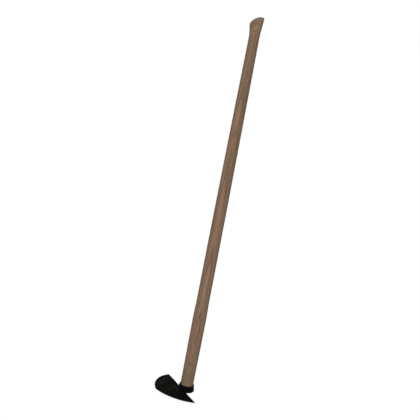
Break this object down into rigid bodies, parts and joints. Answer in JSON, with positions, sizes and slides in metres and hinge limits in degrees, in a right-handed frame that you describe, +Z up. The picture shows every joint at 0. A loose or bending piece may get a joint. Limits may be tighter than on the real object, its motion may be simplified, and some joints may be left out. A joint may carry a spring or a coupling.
{
  "type": "garden hoe",
  "caption": "Garden hoe: a pointed-arch blade with a straight top edge, riveted under a round forged eye, on a long ash handle with a low swell and a flared, slant-cut butt.",
  "frame": {"origin": "on the handle's axis, in the plane of the eye's lower face, which is the tool's lowest face", "axes": "+Z up the handle to its butt, -X out along the middle of the blade to its point, +Y across the blade, to the left when the tool is seen from its point"},
  "size_m": [0.1399, 0.186, 1.2279],
  "materials": {
    "handle_wood": "old bare ash, greyed and smooth from use",
    "eye_steel": "near-black forged steel, satin",
    "blade_steel": "near-black forged steel, dull, rubbed at the edges",
    "rivet_steel": "near-black hammered steel, rubbed on the crowns",
    "wedge_wood": "bare hardwood end grain",
    "wedge_steel": "bare steel, browned",
    "nail_steel": "hammered steel, browned"
  },
  "bodies": {
    "root": {"handle": "handle_wood", "eye_collar": "eye_steel", "blade": "blade_steel", "rivet_left": "rivet_steel", "rivet_right": "rivet_steel", "wood_wedge": "wedge_wood", "steel_wedge": "wedge_steel", "retaining_nail": "nail_steel"}
  },
  "joints": []
}
